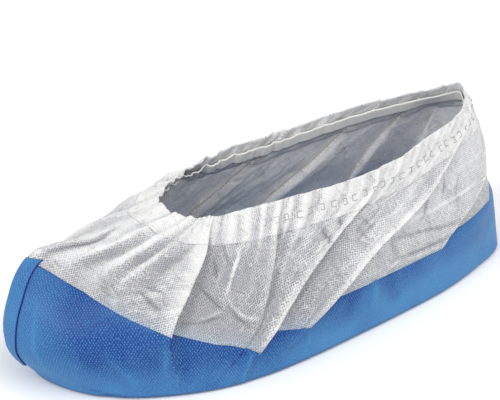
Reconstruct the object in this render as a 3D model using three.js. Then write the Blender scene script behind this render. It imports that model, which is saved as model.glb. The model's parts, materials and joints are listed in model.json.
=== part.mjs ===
// Anti-slip shoe cover: a disposable overshoe of white nonwoven cloth with a blue plastic film sole.
// Millimetres, +Z up. The toe points to -Y, the near side is +X, and the sole lies on z = 0.
// The origin is the middle of the cover's bounding box, on the floor.
import * as THREE from 'three';

// ---------------------------------------------------------------- driving dimensions (mm)
const CLOTH_WALL = 1.4;      // nonwoven, with its loft
const FILM_WALL = 1.2;       // coated film of the sole tray
const PIECE_GAP = 0.4;       // clearance between neighbouring pieces
const HEM_WIDTH = 18;        // height of the doubled band round the opening
const HEM_WALL = 2.2;        // two layers of cloth with the elastic's gathers
const GATHER_HEIGHT = 1.0;   // half height of one gather at the rim
const GATHER_PITCH = 10;     // length of rim that one gather takes
const ELASTIC_WIDTH = 7;
const ELASTIC_THICK = 0.9;
const ELASTIC_DROP = 5;      // from the rim to the elastic's top edge
const SOLE_TUCK = 3.5;        // how far the flat sole lies inside the widest outline
const TUCK_HEIGHT = 1.3;     // height of the rounded edge between sole and wall
const COLOUR_LINE_GAP = 1.1; // between film and cloth, measured along the ribs
const SEAM_WIDTH = 11;       // folded seam strip at toe and heel
const SEAM_THICK = 1;
const FOLD_DROP = 3;         // width of the steep side of a fold

const UPPER_ROWS = 9;        // mesh rows from the colour line to the hem
const FILM_ROWS = 6;         // mesh rows from the sole's edge to the colour line
const COLS_PER_FOLD = 4;     // mesh columns between one fold and the next
const ELASTIC_STEP = 0.2;    // of a rib, from one mesh column of the elastic to the next
const BUILD_COLOURS = { cloth: 0xeeeff2, hem: 0xf8f8f6, elastic: 0xf4f2ea, film: 0x3f76bd, seam: 0x3a6cb4 };

// ---------------------------------------------------------------- the cover's form
// Ribs run from the sole's edge up to the rim. One row per rib of the near side, toe to heel, and one
// column per level line that the rib crosses, as [x, y, z]. The far side mirrors the near one.
const LEVELS = ['foot', 'wall', 'shoulder', 'upper', 'rim'];
const NEAR_RIBS = [
  //             foot            wall              shoulder         upper            rim
  /* toe     */ [[2, -159, 0], [0, -175, 27], [0, -161, 70], [3, -120, 74.5], [6, -82, 84]],
  /* tip     */ [[31, -148.5, 0], [30, -159, 32.5], [15, -142, 61.5], [16, -112, 76], [14, -81, 82]],
  /* cap     */ [[51.5, -127, 0], [52, -130, 34], [39.5, -122, 59], [27.5, -98, 72], [23, -75, 81]],
  /* ball    */ [[67, -91, 0], [67, -90, 32], [55, -88, 52.5], [41, -78, 69], [33, -64, 83]],
  /* joint   */ [[71, -58, 0], [70, -58, 32], [60, -57, 55], [48, -53, 73], [39, -48, 86]],
  /* waist   */ [[69, -25, 0], [68, -25, 32], [59, -24, 56], [50, -22, 75], [45, -20, 89]],
  /* arch    */ [[64, 12, 0], [63, 12, 32], [55, 12, 57], [49, 13, 77], [46, 14, 90]],
  /* side    */ [[58, 50, 0], [57, 50, 32], [50, 50, 57], [46, 50, 78], [43, 50, 93]],
  /* quarter */ [[51, 86, 0], [50, 86, 32], [43, 85, 58], [38, 83, 80], [34, 80, 97]],
  /* counter */ [[40, 120, 0], [39, 119, 34], [34, 115, 60], [29, 110, 82], [25, 106, 99]],
  /* corner  */ [[25, 151, 0], [21.5, 146, 34], [20, 136, 58], [19.5, 131, 84], [14, 123, 101.5]],
  /* heel    */ [[-4, 162, 0], [-4, 161, 34], [-4, 144, 60], [-4, 143, 84], [-4, 136, 106.5]],
];
const TOE_RIB = 0;
const HEEL_RIB = NEAR_RIBS.length - 1;
const RIB_COUNT = 2 * HEEL_RIB;

// The line down the middle of the shoe, which bends towards the near side at the ball of the foot.
const MIDLINE = { toe: { y: -165, x: 1 }, ball: { y: -60, x: 7.5 }, heel: { y: 150, x: -4 } };

// The cloth puffs up over the instep on the far side, in front of the opening.
const INSTEP_PUFF = { rib: 18.5, level: 2.85, ribs: 1.7, levels: 1.1, height: 6, out: 1.5 };

// One row per fold, in order round the cover from the toe. `line` is the rib number where the fold's edge
// crosses each level. `steep` is the side its edge faces (+1 towards higher rib numbers). `lift` is how far
// the edge stands out at the `peak` level and `dip` is the trough beside it, in mm. Both start at the level
// `from`, and `top` is the share of them left at the hem. `hang` is the level of the colour line on the
// edge, and `tuck` is its level in the trough.
const FOLD_COLUMNS = ['line', 'steep', 'lift', 'dip', 'from', 'peak', 'top', 'hang', 'tuck'];
const FOLD_ROWS = [
  /* toe_crown    */ [[0, 0, 0, 0.2, 0.2], 1, 0, 0.6, 1.4, 2.6, 0.3, 2.06, 2.06],
  /* vamp_1       */ [[0.74, 0.74, 0.75, 1.0, 1.2], 1, 1.7, 0.8, 1.5, 2.8, 0.5, 1.95, 1.94],
  /* vamp_2       */ [[1.35, 1.35, 1.4, 1.7, 2.0], 1, 2.0, 1.0, 1.5, 2.8, 0.5, 1.8, 1.79],
  /* vamp_3       */ [[1.85, 1.8, 1.84, 2.22, 2.4], 1, 2.0, 1.0, 1.3, 2.8, 0.5, 1.61, 1.6],
  /* ball_pleat   */ [[2.62, 2.5, 2.83, 3.12, 2.92], 1, 6.5, 2, 0, 1.4, 0.4, 1.14, 1.18],
  /* joint_crease */ [[2.9, 3.1, 3.48, 3.85, 3.9], 1, 2.2, 0.8, 0.8, 2.4, 0.5, 0.9, 0.9],
  /* joint_fold   */ [[3, 3.85, 4.28, 4.55, 4.7], 1, 3.4, 1.4, 0, 2.6, 0.7, 0.69, 0.7],
  /* waist_pleat  */ [[3.5, 4.2, 5.28, 6.35, 6.6], 1, 6.5, 2, 0, 1.0, 0.3, 0.57, 0.84],
  /* side_pleat   */ [[4.1, 5.4, 6.96, 8.72, 10.5], 1, 7.5, 2.2, 0, 1.5, 0.4, 0.69, 0.96],
  /* quarter_fold */ [[7.5, 7.75, 9.65, 10.5, 10.75], 1, 3.6, 1.5, 0, 1.9, 0.5, 1.02, 1.18],
  /* counter_fold */ [[9.0, 9.4, 10.2, 10.8, 10.97], 1, 2.4, 1.2, 0, 2.2, 0.4, 1.22, 1.26],
  /* heel_crown   */ [[11, 11, 11, 11.1, 11.2], -1, 0, 0.6, 0, 2, 0.3, 1.6, 1.56],
  /* far_counter  */ [[12.7, 12.7, 12.4, 11.9, 11.6], -1, 2.8, 1.2, 0, 2, 0.4, 1.24, 1.3],
  /* far_quarter  */ [[14.2, 14.1, 13.7, 13.0, 12.3], -1, 3.6, 1.6, 0, 1.8, 0.5, 0.96, 1.14],
  /* far_side     */ [[16.3, 15.8, 15.0, 14.3, 13.6], -1, 5, 2, 0, 1.4, 0.4, 0.8, 1.0],
  /* far_waist    */ [[17.7, 17.3, 16.6, 16.1, 15.7], -1, 4.5, 1.8, 0, 1.2, 0.4, 0.7, 0.92],
  /* far_joint    */ [[18.7, 18.5, 18.0, 17.6, 17.4], -1, 2.4, 1.2, 0, 2.2, 0.6, 0.92, 0.96],
  /* far_ball     */ [[19.6, 19.5, 19.1, 18.9, 18.9], -1, 3.4, 1.4, 0, 1.5, 0.4, 1.16, 1.24],
  /* far_vamp     */ [[20.7, 20.7, 20.5, 20.3, 20.3], -1, 1.8, 0.8, 1.5, 2.6, 0.5, 1.8, 1.8],
];
const FOLDS = FOLD_ROWS.map((row) => Object.fromEntries(row.map((value, i) => [FOLD_COLUMNS[i], value])));

// ---------------------------------------------------------------- curves and the smooth form
const mix = (a, b, t) => a + (b - a) * t;

function smoothstep(from, to, value) {
  const t = Math.min(Math.max((value - from) / (to - from), 0), 1);
  return t * t * (3 - 2 * t);
}

// A Catmull-Rom blend of four numbers.
function spline(a, b, c, d, t) {
  const slope = (c - a) * t;
  const bend = (2 * a - 5 * b + 4 * c - d) * t * t;
  const twist = (3 * b - a - 3 * c + d) * t * t * t;
  return b + 0.5 * (slope + bend + twist);
}

function splineVector(a, b, c, d, t) {
  return new THREE.Vector3(
    spline(a.x, b.x, c.x, d.x, t),
    spline(a.y, b.y, c.y, d.y, t),
    spline(a.z, b.z, c.z, d.z, t),
  );
}

// The midline's x at a given y: a parabola through its three named points.
function midlineX(y) {
  const { toe, ball, heel } = MIDLINE;
  const share = (a, b, c) => ((y - b.y) * (y - c.y)) / ((a.y - b.y) * (a.y - c.y));
  return toe.x * share(toe, ball, heel) + ball.x * share(ball, toe, heel) + heel.x * share(heel, toe, ball);
}

function ribPoint(rib, level) {
  const index = ((rib % RIB_COUNT) + RIB_COUNT) % RIB_COUNT;
  const isNear = index <= HEEL_RIB;
  const [x, y, z] = NEAR_RIBS[isNear ? index : RIB_COUNT - index][level];
  return new THREE.Vector3(isNear ? x : 2 * midlineX(y) - x, y, z);
}

function levelPoint(rib, level) {
  const start = Math.floor(rib);
  const corners = [-1, 0, 1, 2].map((step) => ribPoint(start + step, level));
  return splineVector(...corners, rib - start);
}

// A point of the smooth form, without folds. `rib` goes round the cover and `level` goes up it.
function smoothPoint(rib, level) {
  const last = LEVELS.length - 1;
  const lower = Math.min(Math.max(Math.floor(level), 0), last - 1);
  const b = levelPoint(rib, lower);
  const c = levelPoint(rib, lower + 1);
  const a = lower > 0 ? levelPoint(rib, lower - 1) : b.clone().multiplyScalar(2).sub(c);
  const d = lower < last - 1 ? levelPoint(rib, lower + 2) : c.clone().multiplyScalar(2).sub(b);
  const point = splineVector(a, b, c, d, level - lower);
  const puff = INSTEP_PUFF;
  const spread = ((rib - puff.rib) / puff.ribs) ** 2 + ((level - puff.level) / puff.levels) ** 2;
  const swell = Math.max(1 - spread, 0) ** 2;
  point.z += puff.height * swell;
  point.x -= puff.out * swell;
  return point;
}

// The outward direction of the smooth form.
function smoothNormal(rib, level) {
  const step = 0.02;
  const along = smoothPoint(rib + step, level).sub(smoothPoint(rib - step, level));
  const up = smoothPoint(rib, level + step).sub(smoothPoint(rib, level - step));
  return along.cross(up).normalize();
}

// Millimetres along the rib for one level, near a level.
function levelSpan(rib, level) {
  const step = 0.02;
  return smoothPoint(rib, level + step).distanceTo(smoothPoint(rib, level - step)) / (2 * step);
}

// The level that lies a given distance down the rib from the rim.
function levelBelowRim(rib, distance) {
  const step = 0.05;
  let level = LEVELS.length - 1;
  let left = distance;
  let length = smoothPoint(rib, level).distanceTo(smoothPoint(rib, level - step));
  while (left > length) {
    left -= length;
    level -= step;
    length = smoothPoint(rib, level).distanceTo(smoothPoint(rib, level - step));
  }
  return level - (step * left) / length;
}

// ---------------------------------------------------------------- folds
// Where a fold's edge crosses a level, as a rib number.
function foldRib(fold, level) {
  const last = LEVELS.length - 1;
  const lower = Math.min(Math.max(Math.floor(level), 0), last - 1);
  const at = (index) => fold.line[Math.min(Math.max(index, 0), last)];
  return spline(at(lower - 1), at(lower), at(lower + 1), at(lower + 2), level - lower);
}

// How much of a fold's full height is left at a level.
function foldStrength(fold, level) {
  if (level < fold.peak) return smoothstep(fold.from, fold.peak, level);
  return mix(1, fold.top, smoothstep(fold.peak, LEVELS.length - 1, level));
}

// Mesh columns run along the folds. Each has the rib number and the height off the smooth form as functions
// of the level, the level of the colour line, and the gap there, which is wider where the line is steep.
function makeColumns() {
  const columns = [];
  const lineGap = (fold) => COLOUR_LINE_GAP * (1 + 3 * (fold.tuck - fold.hang));
  FOLDS.forEach((fold, index) => {
    const isLast = index === FOLDS.length - 1;
    const next = isLast ? FOLDS[0] : FOLDS[index + 1];
    const turn = isLast ? RIB_COUNT : 0;
    const nextRib = (level) => foldRib(next, level) + turn;
    const width = (level) => {
      const start = smoothPoint(foldRib(fold, level), level);
      return start.distanceTo(smoothPoint(nextRib(level), level));
    };
    const stepShare = (level) => Math.min(FOLD_DROP / Math.max(width(level), 1), 0.3);
    const startsInTrough = fold.steep > 0;
    const endsInTrough = next.steep < 0;
    const startShare = (level) => (startsInTrough ? stepShare(level) : 0);
    const endShare = (level) => (endsInTrough ? 1 - stepShare(level) : 1);
    const startHeight = (level) => foldStrength(fold, level) * (startsInTrough ? -fold.dip : fold.lift);
    const endHeight = (level) => foldStrength(next, level) * (endsInTrough ? -next.dip : next.lift);
    const startLine = startsInTrough ? fold.tuck : fold.hang;
    const endLine = endsInTrough ? next.tuck : next.hang;

    columns.push({
      rib: (level) => foldRib(fold, level),
      height: (level) => foldStrength(fold, level) * fold.lift,
      line: fold.hang,
      gap: lineGap(fold),
    });
    for (let column = startsInTrough ? 0 : 1; column <= COLS_PER_FOLD; column += 1) {
      const share = column / (COLS_PER_FOLD + (endsInTrough ? 0 : 1));
      const rise = share ** 2;
      const fall = (1 - share) ** 1.6;
      columns.push({
        rib: (level) => {
          const along = mix(startShare(level), endShare(level), share);
          return mix(foldRib(fold, level), nextRib(level), along);
        },
        height: (level) => startHeight(level) * fall + endHeight(level) * rise,
        line: mix(startLine, endLine, share),
        gap: mix(lineGap(fold), lineGap(next), share),
      });
    }
  });
  return columns;
}

// The level that lies a given distance down a column from the rim. The column's rib number changes with the
// level, so the level is found in a few rounds.
function columnBelowRim(ribAt, distance) {
  let level = LEVELS.length - 1;
  for (let round = 0; round < 5; round += 1) level = levelBelowRim(ribAt(level), distance);
  return level;
}

// Folds die out just under the hem, which the elastic holds smooth.
function foldedPoint(column, level, hemLevel) {
  const rib = column.rib(level);
  const settle = 1 - smoothstep(hemLevel - 0.45, hemLevel, level);
  const height = column.height(level) * settle;
  const normal = smoothNormal(rib, level);
  return { point: smoothPoint(rib, level).addScaledVector(normal, height), normal };
}

// ---------------------------------------------------------------- closed meshes
// A mesh from rings of points: each ring closes on itself, and ring follows ring. `loop` joins the last ring
// to the first. Otherwise the end rings are capped as flat outlines.
function ringsGeometry(rings, loop) {
  const size = rings[0].length;
  const positions = rings.flat().flatMap((point) => [point.x, point.y, point.z]);
  const faces = [];
  const bands = loop ? rings.length : rings.length - 1;
  for (let band = 0; band < bands; band += 1) {
    const low = band * size;
    const high = ((band + 1) % rings.length) * size;
    for (let side = 0; side < size; side += 1) {
      const next = (side + 1) % size;
      faces.push(low + side, low + next, high + next);
      faces.push(low + side, high + next, high + side);
    }
  }
  if (!loop) {
    const cap = (ring, base, turned) => {
      const outline = rings[ring].map((point) => new THREE.Vector2(point.x, point.y));
      THREE.ShapeUtils.triangulateShape(outline, []).forEach(([a, b, c]) => {
        faces.push(base + a, base + (turned ? c : b), base + (turned ? b : c));
      });
    };
    cap(0, 0, true);
    cap(rings.length - 1, (rings.length - 1) * size, false);
  }
  const geometry = new THREE.BufferGeometry();
  geometry.setAttribute('position', new THREE.Float32BufferAttribute(positions, 3));
  geometry.setIndex(faces);
  geometry.computeVertexNormals();
  return geometry;
}

// A bent plate from a grid of outer points and the matching inner ones.
function plateGeometry(outer, inner) {
  const rows = outer.length;
  const rings = [];
  for (let row = 0; row < rows; row += 1) rings.push([...outer[row], ...inner[row].slice().reverse()]);
  const size = rings[0].length;
  const half = size / 2;
  const positions = rings.flat().flatMap((point) => [point.x, point.y, point.z]);
  const faces = [];
  for (let row = 0; row < rows - 1; row += 1) {
    const low = row * size;
    const high = low + size;
    for (let side = 0; side < size; side += 1) {
      const next = (side + 1) % size;
      faces.push(low + side, low + next, high + next);
      faces.push(low + side, high + next, high + side);
    }
  }
  const top = (rows - 1) * size;
  for (let side = 0; side < half - 1; side += 1) {
    const back = size - 1 - side;
    faces.push(side, back, back - 1, side, back - 1, side + 1);
    faces.push(top + side, top + side + 1, top + back - 1, top + side, top + back - 1, top + back);
  }
  const geometry = new THREE.BufferGeometry();
  geometry.setAttribute('position', new THREE.Float32BufferAttribute(positions, 3));
  geometry.setIndex(faces);
  geometry.computeVertexNormals();
  return geometry;
}

function makeMesh(name, geometry, colour, roughness) {
  const material = new THREE.MeshStandardMaterial({ color: colour, roughness, metalness: 0 });
  const mesh = new THREE.Mesh(geometry, material);
  mesh.name = name;
  return mesh;
}

// ---------------------------------------------------------------- the pieces
const columns = makeColumns();
const hemLevels = columns.map((column) => columnBelowRim(column.rib, HEM_WIDTH + PIECE_GAP));

// The nonwoven shell, from the colour line up to the hem.
function makeUpper() {
  const outer = [];
  const inner = [];
  for (let row = 0; row <= UPPER_ROWS; row += 1) {
    outer.push([]);
    inner.push([]);
    columns.forEach((column, index) => {
      const hemLevel = hemLevels[index];
      const start = column.line + column.gap / levelSpan(column.rib(column.line), column.line);
      const level = mix(start, hemLevel, row / UPPER_ROWS);
      const { point, normal } = foldedPoint(column, level, hemLevel);
      outer[row].push(point);
      inner[row].push(point.clone().addScaledVector(normal, -CLOTH_WALL));
    });
  }
  return makeMesh('upper', ringsGeometry([...outer, ...inner.reverse()], true), BUILD_COLOURS.cloth, 0.9);
}

// The film tray: a flat sole, a rounded edge, and walls up to the colour line.
function makeSoleFilm() {
  const down = new THREE.Vector3(0, 0, -1);
  const outer = [[], []];
  const inner = [[], []];
  columns.forEach((column) => {
    const rib = column.rib(0);
    const normal = smoothNormal(rib, 0.05).setZ(0).normalize();
    const edge = smoothPoint(rib, 0);
    const flat = edge.clone().addScaledVector(normal, -SOLE_TUCK);
    const tuck = edge.clone().addScaledVector(normal, -SOLE_TUCK * 0.22).setZ(TUCK_HEIGHT);
    const corner = normal.clone().add(down).normalize();
    outer[0].push(flat);
    inner[0].push(flat.clone().setZ(FILM_WALL));
    outer[1].push(tuck);
    inner[1].push(tuck.clone().addScaledVector(corner, -FILM_WALL));
  });
  for (let row = 1; row <= FILM_ROWS; row += 1) {
    const outerRow = [];
    const innerRow = [];
    columns.forEach((column, index) => {
      const level = mix(0.04, column.line, row / FILM_ROWS);
      const { point, normal } = foldedPoint(column, level, hemLevels[index]);
      outerRow.push(point);
      innerRow.push(point.clone().addScaledVector(normal, -FILM_WALL));
    });
    outer.push(outerRow);
    inner.push(innerRow);
  }
  const geometry = ringsGeometry([...outer, ...inner.reverse()], false);
  return makeMesh('sole_film', geometry, BUILD_COLOURS.film, 0.45);
}

// The doubled band round the opening, gathered by the elastic. Its lower edge follows the upper's columns, and
// further columns between them carry the gathers.
function makeHem() {
  const shares = [0, 0.55, 1];
  const places = columns.map(({ rib }) => shares.map((share) => {
    const level = columnBelowRim(rib, (HEM_WIDTH - PIECE_GAP) * (1 - share));
    const normal = smoothNormal(rib(level), Math.min(level, LEVELS.length - 1.02));
    return { point: smoothPoint(rib(level), level), normal };
  }));
  const top = shares.length - 1;
  const nextOf = (index) => places[(index + 1) % places.length];
  const spacings = places.map((place, index) => place[top].point.distanceTo(nextOf(index)[top].point));
  const rimLength = spacings.reduce((sum, spacing) => sum + spacing, 0);
  const gathers = Math.round(rimLength / GATHER_PITCH);
  const outer = shares.map(() => []);
  const inner = shares.map(() => []);
  let travelled = 0;
  places.forEach((place, index) => {
    const next = nextOf(index);
    const pieces = Math.max(Math.round((spacings[index] * 4) / GATHER_PITCH), 1);
    for (let piece = 0; piece < pieces; piece += 1) {
      const along = piece / pieces;
      const turn = (travelled + along * spacings[index]) / rimLength;
      const wave = Math.sin(2 * Math.PI * gathers * turn);
      shares.forEach((share, row) => {
        const normal = place[row].normal.clone().lerp(next[row].normal, along).normalize();
        const point = place[row].point.clone().lerp(next[row].point, along);
        point.addScaledVector(normal, GATHER_HEIGHT * wave * share);
        outer[row].push(point);
        inner[row].push(point.clone().addScaledVector(normal, -HEM_WALL));
      });
    }
    travelled += spacings[index];
  });
  return makeMesh('hem', ringsGeometry([...outer, ...inner.reverse()], true), BUILD_COLOURS.hem, 0.9);
}

// The flat elastic, sewn to the inside of the hem.
function makeElastic() {
  const depth = HEM_WALL + GATHER_HEIGHT + 4 * PIECE_GAP;
  const edges = [ELASTIC_DROP + ELASTIC_WIDTH, ELASTIC_DROP];
  const outer = edges.map(() => []);
  const inner = edges.map(() => []);
  for (let rib = 0; rib < RIB_COUNT; rib += ELASTIC_STEP) {
    edges.forEach((drop, row) => {
      const level = levelBelowRim(rib, drop);
      const normal = smoothNormal(rib, level);
      const point = smoothPoint(rib, level).addScaledVector(normal, -depth);
      outer[row].push(point);
      inner[row].push(point.clone().addScaledVector(normal, -ELASTIC_THICK));
    });
  }
  const geometry = ringsGeometry([...outer, ...inner.reverse()], true);
  return makeMesh('elastic', geometry, BUILD_COLOURS.elastic, 0.8);
}

// A folded seam strip that lies on the film, from low on the wall up to its top edge.
function makeSeam(name, centreRib, foldLevel) {
  const rows = 12;
  const cols = 3;
  const outer = [];
  const inner = [];
  for (let row = 0; row <= rows; row += 1) {
    const level = mix(0.3, foldLevel, row / rows);
    const reach = smoothPoint(centreRib, level).distanceTo(smoothPoint(centreRib + 0.5, level)) / 0.5;
    outer.push([]);
    inner.push([]);
    for (let col = 0; col <= cols; col += 1) {
      const rib = centreRib + ((col / cols) * SEAM_WIDTH - 1) / reach;
      const normal = smoothNormal(rib, level);
      const seat = smoothPoint(rib, level).addScaledVector(normal, PIECE_GAP + 0.25);
      inner[row].push(seat);
      outer[row].push(seat.clone().addScaledVector(normal, SEAM_THICK));
    }
  }
  return makeMesh(name, plateGeometry(outer, inner), BUILD_COLOURS.seam, 0.45);
}

const cover = new THREE.Group();
cover.add(makeSoleFilm());
cover.add(makeUpper());
cover.add(makeHem());
cover.add(makeElastic());
cover.add(makeSeam('toe_seam', TOE_RIB, 2.02));
cover.add(makeSeam('heel_seam', HEEL_RIB, 1.7));

// The origin goes to the middle of the bounding box, on the floor.
const box = new THREE.Box3().setFromObject(cover);
const middle = box.getCenter(new THREE.Vector3());
cover.position.set(-middle.x, -middle.y, -box.min.z);

export default cover;
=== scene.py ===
"""The dressed model of the shoe cover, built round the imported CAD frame. Form functions work in mm."""
import itertools
import json
import math
from functools import partialmethod
from types import SimpleNamespace

import bpy
import numpy as np
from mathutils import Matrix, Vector

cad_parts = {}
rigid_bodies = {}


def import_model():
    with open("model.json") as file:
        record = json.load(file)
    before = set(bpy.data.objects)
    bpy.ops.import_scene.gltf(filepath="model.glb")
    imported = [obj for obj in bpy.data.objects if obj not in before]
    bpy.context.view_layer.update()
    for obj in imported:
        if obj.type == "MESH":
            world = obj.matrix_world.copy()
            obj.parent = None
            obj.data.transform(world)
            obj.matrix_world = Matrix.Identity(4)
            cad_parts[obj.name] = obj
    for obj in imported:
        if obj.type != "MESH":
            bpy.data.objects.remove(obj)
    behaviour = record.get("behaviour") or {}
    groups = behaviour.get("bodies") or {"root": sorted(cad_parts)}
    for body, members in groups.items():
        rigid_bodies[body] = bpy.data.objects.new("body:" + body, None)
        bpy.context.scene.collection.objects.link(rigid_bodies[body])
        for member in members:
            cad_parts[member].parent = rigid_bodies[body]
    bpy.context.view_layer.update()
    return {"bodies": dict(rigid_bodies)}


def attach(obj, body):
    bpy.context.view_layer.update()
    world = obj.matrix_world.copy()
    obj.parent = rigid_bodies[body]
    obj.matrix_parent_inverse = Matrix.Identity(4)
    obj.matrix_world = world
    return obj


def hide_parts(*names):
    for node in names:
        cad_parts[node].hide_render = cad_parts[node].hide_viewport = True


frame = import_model()

MM = 0.001
FORM_SHIFT = np.array([-9.569, 6.24, 0.0])  # from the form's own origin to the row frame, mm


def linked(name, data):
    """A new object with the data given, linked to the scene."""
    thing = bpy.data.objects.new(name, data)
    bpy.context.scene.collection.objects.link(thing)
    return thing


def aimed(thing, azimuth, elevation):
    """Turns a camera or a light to look from the azimuth, where 0 is the toe's side and 90 the near side.
    Returns the direction back to it."""
    side, rise = math.radians(azimuth), math.radians(elevation)
    back = Vector((math.sin(side) * math.cos(rise), -math.cos(side) * math.cos(rise), math.sin(rise)))
    thing.rotation_mode = "QUATERNION"
    thing.rotation_quaternion = (-back).to_track_quat("-Z", "Y")
    return back


# ---- camera, at the reference's viewing angle, level and without shift
CAMERA_DISTANCE = 0.8
CAMERA_TARGET = Vector((-0.02457, -0.00576, 0.060))
optics = bpy.data.cameras.new("camera")
optics.lens = 98.5
optics.sensor_width = 36.0
optics.clip_start = 0.01
optics.clip_end = 20.0
camera = linked("camera", optics)
camera.location = CAMERA_TARGET + aimed(camera, azimuth=57.0, elevation=25.4) * CAMERA_DISTANCE
bpy.context.scene.camera = camera

# ---- sizes, mm
CLOTH_THICK = 0.32
FILM_THICK = 0.3
LEAF_THICK = 0.34        # one of the hem's two leaves
LEAF_OUT = 0.1           # the outer leaf's middle, outside the sheet's middle
LEAF_IN = 0.78           # the inner leaf's middle, inside it
HEM_WIDTH = 18.0
HEM_TOP = 0.5            # the highest row of the leaves, below the rim
HEM_BENDS = (35, 90, 145)    # the rows of the turn between them, in degrees
UPPER_UNDER_HEM = 2.2    # how far the upper's top edge lies between the leaves
UPPER_TUCK = 0.33        # and how far inside the sheet's middle
FILM_UNDER_CLOTH = 2.0   # how far the film runs on behind the cloth
FILM_INSET = 0.36        # how far behind
TUCK_LEVEL = 2.6 / 33    # where the walls start: 2.6 mm up, and level 1 is 33 mm up
SOLE_TUCK = 3.5          # how far the sole's flat part lies inside the walls
SOLE_BENDS = (0, 18, 36, 54, 72)    # the rows of the turn between them, in degrees
SOLE_ENDS = (-128, 118)  # the ends of the middle line that the flat part's rows close in on
SOLE_INSETS = (0.04, 0.2, 0.36, 0.52, 0.66, 0.78, 0.88, 0.95)    # those rows, from that line out
COLUMN_PITCH = 1.1
SOFT_STEP = 4.0          # half width of a fold where the film isn't lapped
TURN_COLUMNS = 10        # columns through the turn of a lapped fold
ELASTIC_WIDTH = 7.0
ELASTIC_DROP = 5.0
ELASTIC_THICK = 0.7
ELASTIC_DEPTH = 2.8
SEAM_THICK = 0.5
STITCH_PITCH = 7.2
STITCH_DASH = 2.8
STITCH_DROPS = (8.8, 12.0)
THREAD = 0.42
BOND_PITCH = 0.95
FILM_PITCH = 1.15
UPPER_ROWS = 64
FILM_ROWS = 35
HEM_ROWS = 18
ELASTIC_ROWS = 7
ELASTIC_COLUMNS = 660
CLOTH_GREY = (0.45, 0.45, 0.48)
# Painted shade in the creases of cloth that is grey already.
CLOTH_CREASE_SHADE = (0.16, 0.16, 0.18)   # in the crease of cloth that is grey already
CLOTH_WHITE = (0.93, 0.93, 0.93)
CLOTH_WARM = (1.0, 0.99, 0.97)
CLOTH_ON_FILM = (0.5, 0.68, 0.88)
FILM_DEEP = (0.008, 0.06, 0.28)
FILM_LIGHT = (0.063, 0.24, 0.515)
# Painted highlights on the film's raised dots.
FILM_DOT_HIGHLIGHT = (0.11, 0.36, 0.66)
# A painted shadow along the seam flaps' free edges.
FILM_EDGE_SHADOW = (0.015, 0.02, 0.22)
# The elastic's colour by its relief: painted shade in the grooves, painted light on the ribs.
ELASTIC_SHADED = (0.62, 0.61, 0.57)
ELASTIC_LIT = (0.84, 0.83, 0.8)
# The white thread drawn grey, as painted shadow where the stitches dip into the cloth.
THREAD_SHADOW_DARK = (0.26, 0.26, 0.27)
THREAD_SHADOW_LIGHT = (0.42, 0.42, 0.42)
FLOOR_WHITE = (0.93, 0.93, 0.93)

# ---- the cover's form, as in part.mjs
NEAR_RIBS = np.array([
    #    foot             wall              shoulder         upper            rim
    [[2, -159, 0], [0, -175, 27], [0, -161, 70], [3, -120, 74.5], [6, -82, 84]],  # toe
    [[31, -148.5, 0], [30, -159, 32.5], [15, -142, 61.5], [16, -112, 76], [14, -81, 82]],  # tip
    [[51.5, -127, 0], [52, -130, 34], [39.5, -122, 59], [27.5, -98, 72], [23, -75, 81]],  # cap
    [[67, -91, 0], [67, -90, 32], [55, -88, 52.5], [41, -78, 69], [33, -64, 83]],  # ball
    [[71, -58, 0], [70, -58, 32], [60, -57, 55], [48, -53, 73], [39, -48, 86]],  # joint
    [[69, -25, 0], [68, -25, 32], [59, -24, 56], [50, -22, 75], [45, -20, 89]],  # waist
    [[64, 12, 0], [63, 12, 32], [55, 12, 57], [49, 13, 77], [46, 14, 90]],  # arch
    [[58, 50, 0], [57, 50, 32], [50, 50, 57], [46, 50, 78], [43, 50, 93]],  # side
    [[51, 86, 0], [50, 86, 32], [43, 85, 58], [38, 83, 80], [34, 80, 97]],  # quarter
    [[40, 120, 0], [39, 119, 34], [34, 115, 60], [29, 110, 82], [25, 106, 99]],  # counter
    [[25, 151, 0], [21.5, 146, 34], [20, 136, 58], [19.5, 131, 84], [14, 123, 101.5]],  # corner
    [[-4, 162, 0], [-4, 161, 34], [-4, 144, 60], [-4, 143, 84], [-4, 136, 106.5]],  # heel
], float)
RIM_LEVEL = NEAR_RIBS.shape[1] - 1
HEEL_RIB = len(NEAR_RIBS) - 1
RIB_COUNT = 2 * HEEL_RIB
MIDLINE_Y = (-165.0, -60.0, 150.0)   # toe, ball, heel
MIDLINE_X = (1.0, 7.5, -4.0)
INSTEP_PUFF = SimpleNamespace(rib=18.5, level=2.85, ribs=1.7, levels=1.1, height=6.0, out=1.5)
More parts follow.
